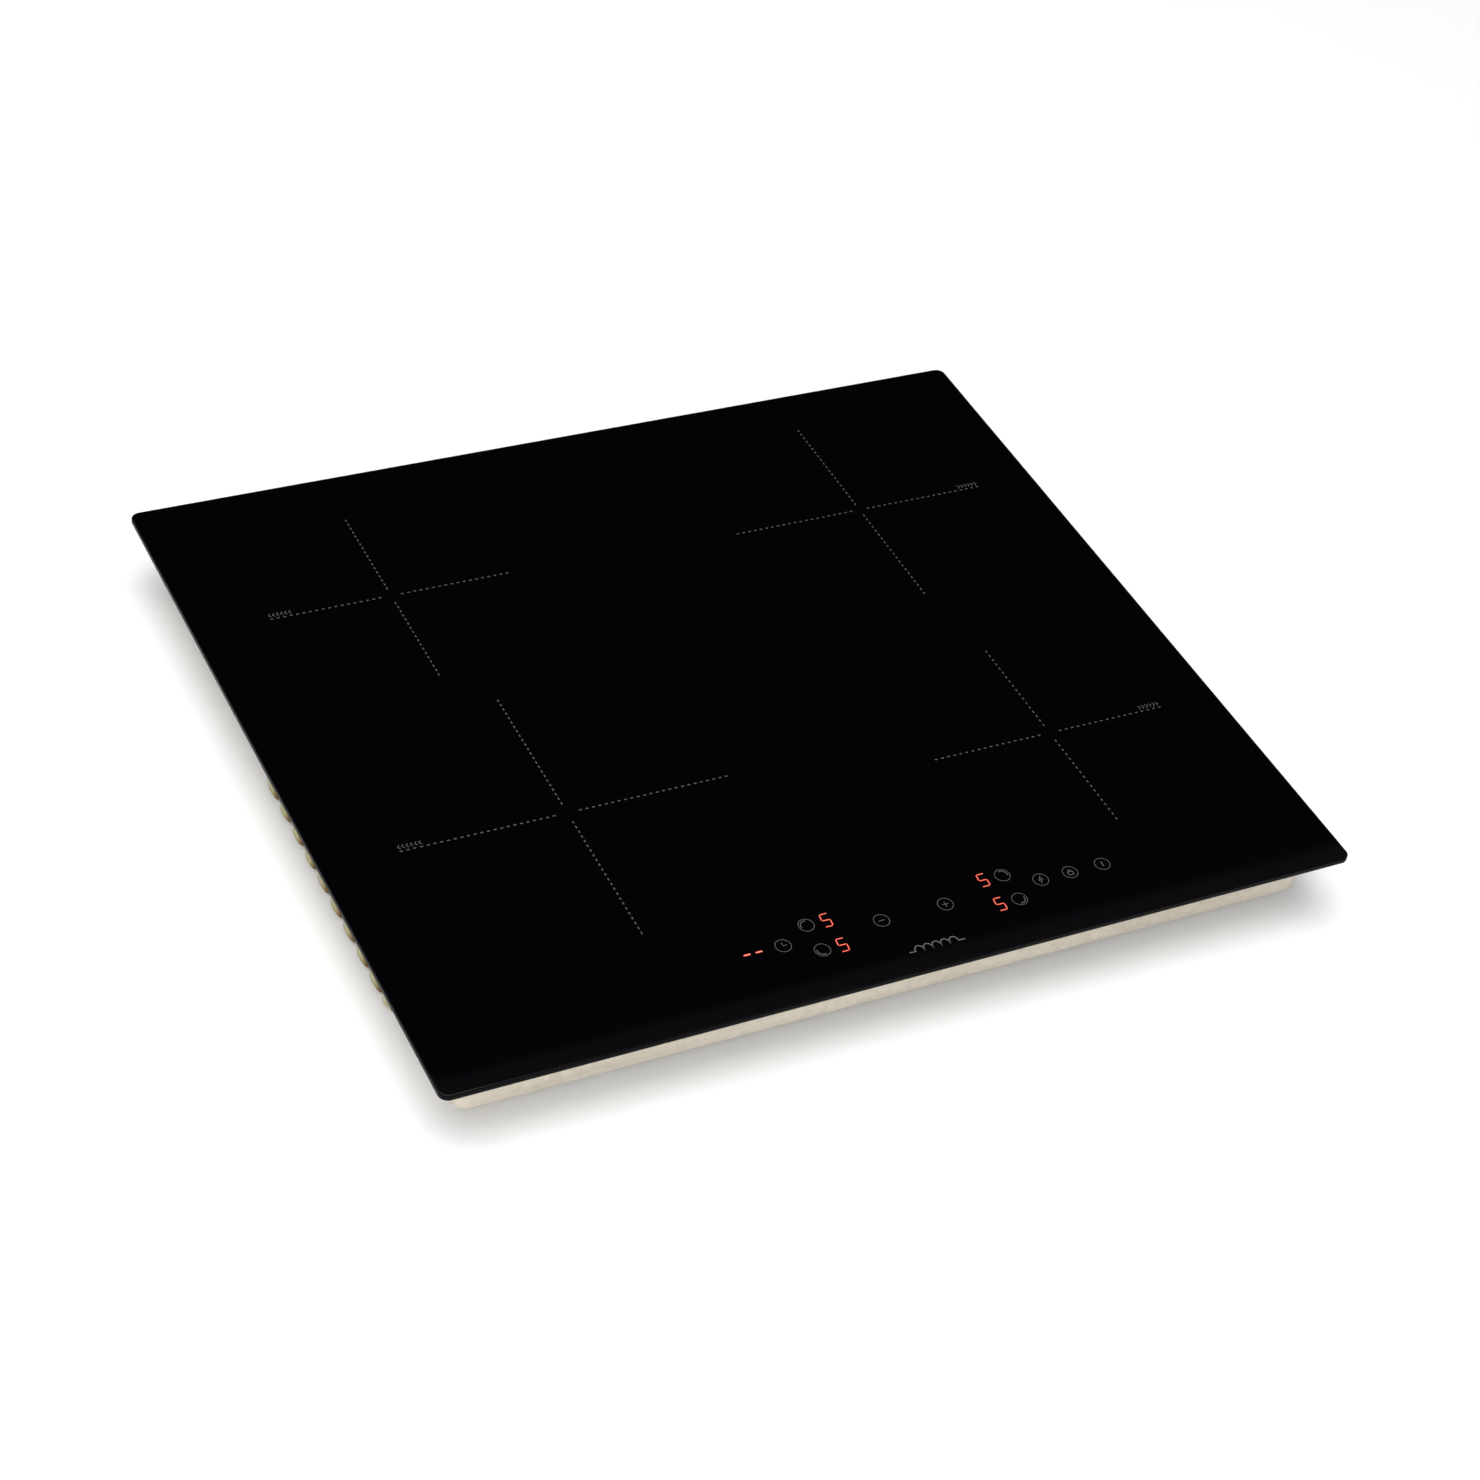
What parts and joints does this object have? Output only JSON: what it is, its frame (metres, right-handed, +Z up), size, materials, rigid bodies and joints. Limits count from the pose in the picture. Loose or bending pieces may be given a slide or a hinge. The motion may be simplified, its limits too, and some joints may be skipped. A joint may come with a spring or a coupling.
{
  "type": "electric induction cooktop",
  "caption": "Built-in induction cooktop: black glass top with marked cooking zones and touch controls over a louvred sheet-steel case with coils, fans and boards inside.",
  "frame": {"origin": "middle of the footprint, on the plane of the case's lowest face", "axes": "+X to the user's right, +Y away from the user, +Z up through the glass"},
  "size_m": [0.59, 0.52, 0.0485],
  "materials": {
    "black_glass": "polished black glass-ceramic",
    "foam_gasket": "matt black foam",
    "white_silicone": "satin silicone bead",
    "galvanised_steel": "galvanised sheet, warm beige",
    "passivated_steel": "yellow passivated zinc",
    "aluminium_sheet": "rolled sheet",
    "white_former": "moulded",
    "copper_litz": "lacquered copper strands",
    "ferrite": "sintered",
    "silicone_rubber": "matt",
    "mica": "pressed mica sheet",
    "spring_steel": "bright wire",
    "circuit_board": "solder mask",
    "black_plastic": "moulded, fine texture",
    "red_display": "red light through a dark lens",
    "grey_plastic": "moulded",
    "zinc_screw": "bright zinc plate",
    "cable_jacket": "silicone sleeve",
    "glass_print": "grey screen print on the glass"
  },
  "bodies": {
    "case": {"glass_plate": "black_glass", "worktop_gasket": "foam_gasket", "glass_seal": "white_silicone", "base_tray": "galvanised_steel", "mica_sheet": "mica", "louvre_strip_left": "passivated_steel", "carrier_spring_left_1": "spring_steel", "carrier_spring_left_2": "spring_steel", "carrier_spring_left_3": "spring_steel", "power_board_left": "circuit_board", "heat_sink_left": "aluminium_sheet", "fan_housing_left": "black_plastic", "louvre_strip_right": "passivated_steel", "carrier_spring_right_1": "spring_steel", "carrier_spring_right_2": "spring_steel", "carrier_spring_right_3": "spring_steel", "power_board_right": "circuit_board", "heat_sink_right": "aluminium_sheet", "fan_housing_right": "black_plastic", "filter_board": "circuit_board", "control_holder": "black_plastic", "control_board": "circuit_board", "display_timer": "red_display", "display_left_zones": "red_display", "display_right_zones": "red_display", "ribbon_cable": "grey_plastic", "terminal_box": "black_plastic", "terminal_block": "grey_plastic", "mains_lead": "cable_jacket", "clamp_screw_front_left": "zinc_screw", "clamp_screw_front_right": "zinc_screw", "clamp_screw_rear_left": "zinc_screw", "clamp_screw_rear_right": "zinc_screw"},
    "carrier_left": {"coil_carrier_left": "aluminium_sheet", "coil_leads_left": "cable_jacket", "coil_former_left_front": "white_former", "coil_winding_left_front": "copper_litz", "ferrite_set_left_front": "ferrite", "temperature_sensor_left_front": "silicone_rubber", "coil_former_left_rear": "white_former", "coil_winding_left_rear": "copper_litz", "ferrite_set_left_rear": "ferrite", "temperature_sensor_left_rear": "silicone_rubber"},
    "fan_left": {"fan_rotor_left": "black_plastic"},
    "carrier_right": {"coil_carrier_right": "aluminium_sheet", "coil_leads_right": "cable_jacket", "coil_former_right_front": "white_former", "coil_winding_right_front": "copper_litz", "ferrite_set_right_front": "ferrite", "temperature_sensor_right_front": "silicone_rubber", "coil_former_right_rear": "white_former", "coil_winding_right_rear": "copper_litz", "ferrite_set_right_rear": "ferrite", "temperature_sensor_right_rear": "silicone_rubber"},
    "fan_right": {"fan_rotor_right": "black_plastic"},
    "lid": {"terminal_lid": "black_plastic"},
    "swivel_clamp_front_left": {"clamp_front_left": "zinc_screw"},
    "swivel_clamp_front_right": {"clamp_front_right": "zinc_screw"},
    "swivel_clamp_rear_left": {"clamp_rear_left": "zinc_screw"},
    "swivel_clamp_rear_right": {"clamp_rear_right": "zinc_screw"}
  },
  "joints": [
    {"name": "carrier_left_float", "type": "slide", "parent": "case", "child": "carrier_left", "axis": [0, 0, 1], "range_m": [-0.002, 0], "stiffness_N_per_m": 8000, "springref_m": 0.006, "deforming": ["carrier_spring_left_1", "carrier_spring_left_2", "carrier_spring_left_3"]},
    {"name": "carrier_right_float", "type": "slide", "parent": "case", "child": "carrier_right", "axis": [0, 0, 1], "range_m": [-0.002, 0], "stiffness_N_per_m": 8000, "springref_m": 0.006, "deforming": ["carrier_spring_right_1", "carrier_spring_right_2", "carrier_spring_right_3"]},
    {"name": "fan_left_spin", "type": "hinge", "parent": "case", "child": "fan_left", "pos_m": [-0.13, 0.092, 0.01], "axis": [0, 0, 1], "continuous": true},
    {"name": "fan_right_spin", "type": "hinge", "parent": "case", "child": "fan_right", "pos_m": [0.13, 0.092, 0.01], "axis": [0, 0, 1], "continuous": true},
    {"name": "terminal_lid_hinge", "type": "hinge", "parent": "case", "child": "lid", "pos_m": [0.207, 0.2431, 0.0245], "axis": [1, 0, 0], "range_deg": [0, 100]},
    {"name": "clamp_front_left_swivel", "type": "hinge", "parent": "case", "child": "swivel_clamp_front_left", "pos_m": [-0.2, -0.224, 0.0107], "axis": [0, 0, -1], "range_deg": [0, 90]},
    {"name": "clamp_front_right_swivel", "type": "hinge", "parent": "case", "child": "swivel_clamp_front_right", "pos_m": [0.2, -0.224, 0.0107], "axis": [0, 0, 1], "range_deg": [0, 90]},
    {"name": "clamp_rear_left_swivel", "type": "hinge", "parent": "case", "child": "swivel_clamp_rear_left", "pos_m": [-0.14, 0.224, 0.0107], "axis": [0, 0, 1], "range_deg": [0, 90]},
    {"name": "clamp_rear_right_swivel", "type": "hinge", "parent": "case", "child": "swivel_clamp_rear_right", "pos_m": [0.14, 0.224, 0.0107], "axis": [0, 0, -1], "range_deg": [0, 90]}
  ]
}
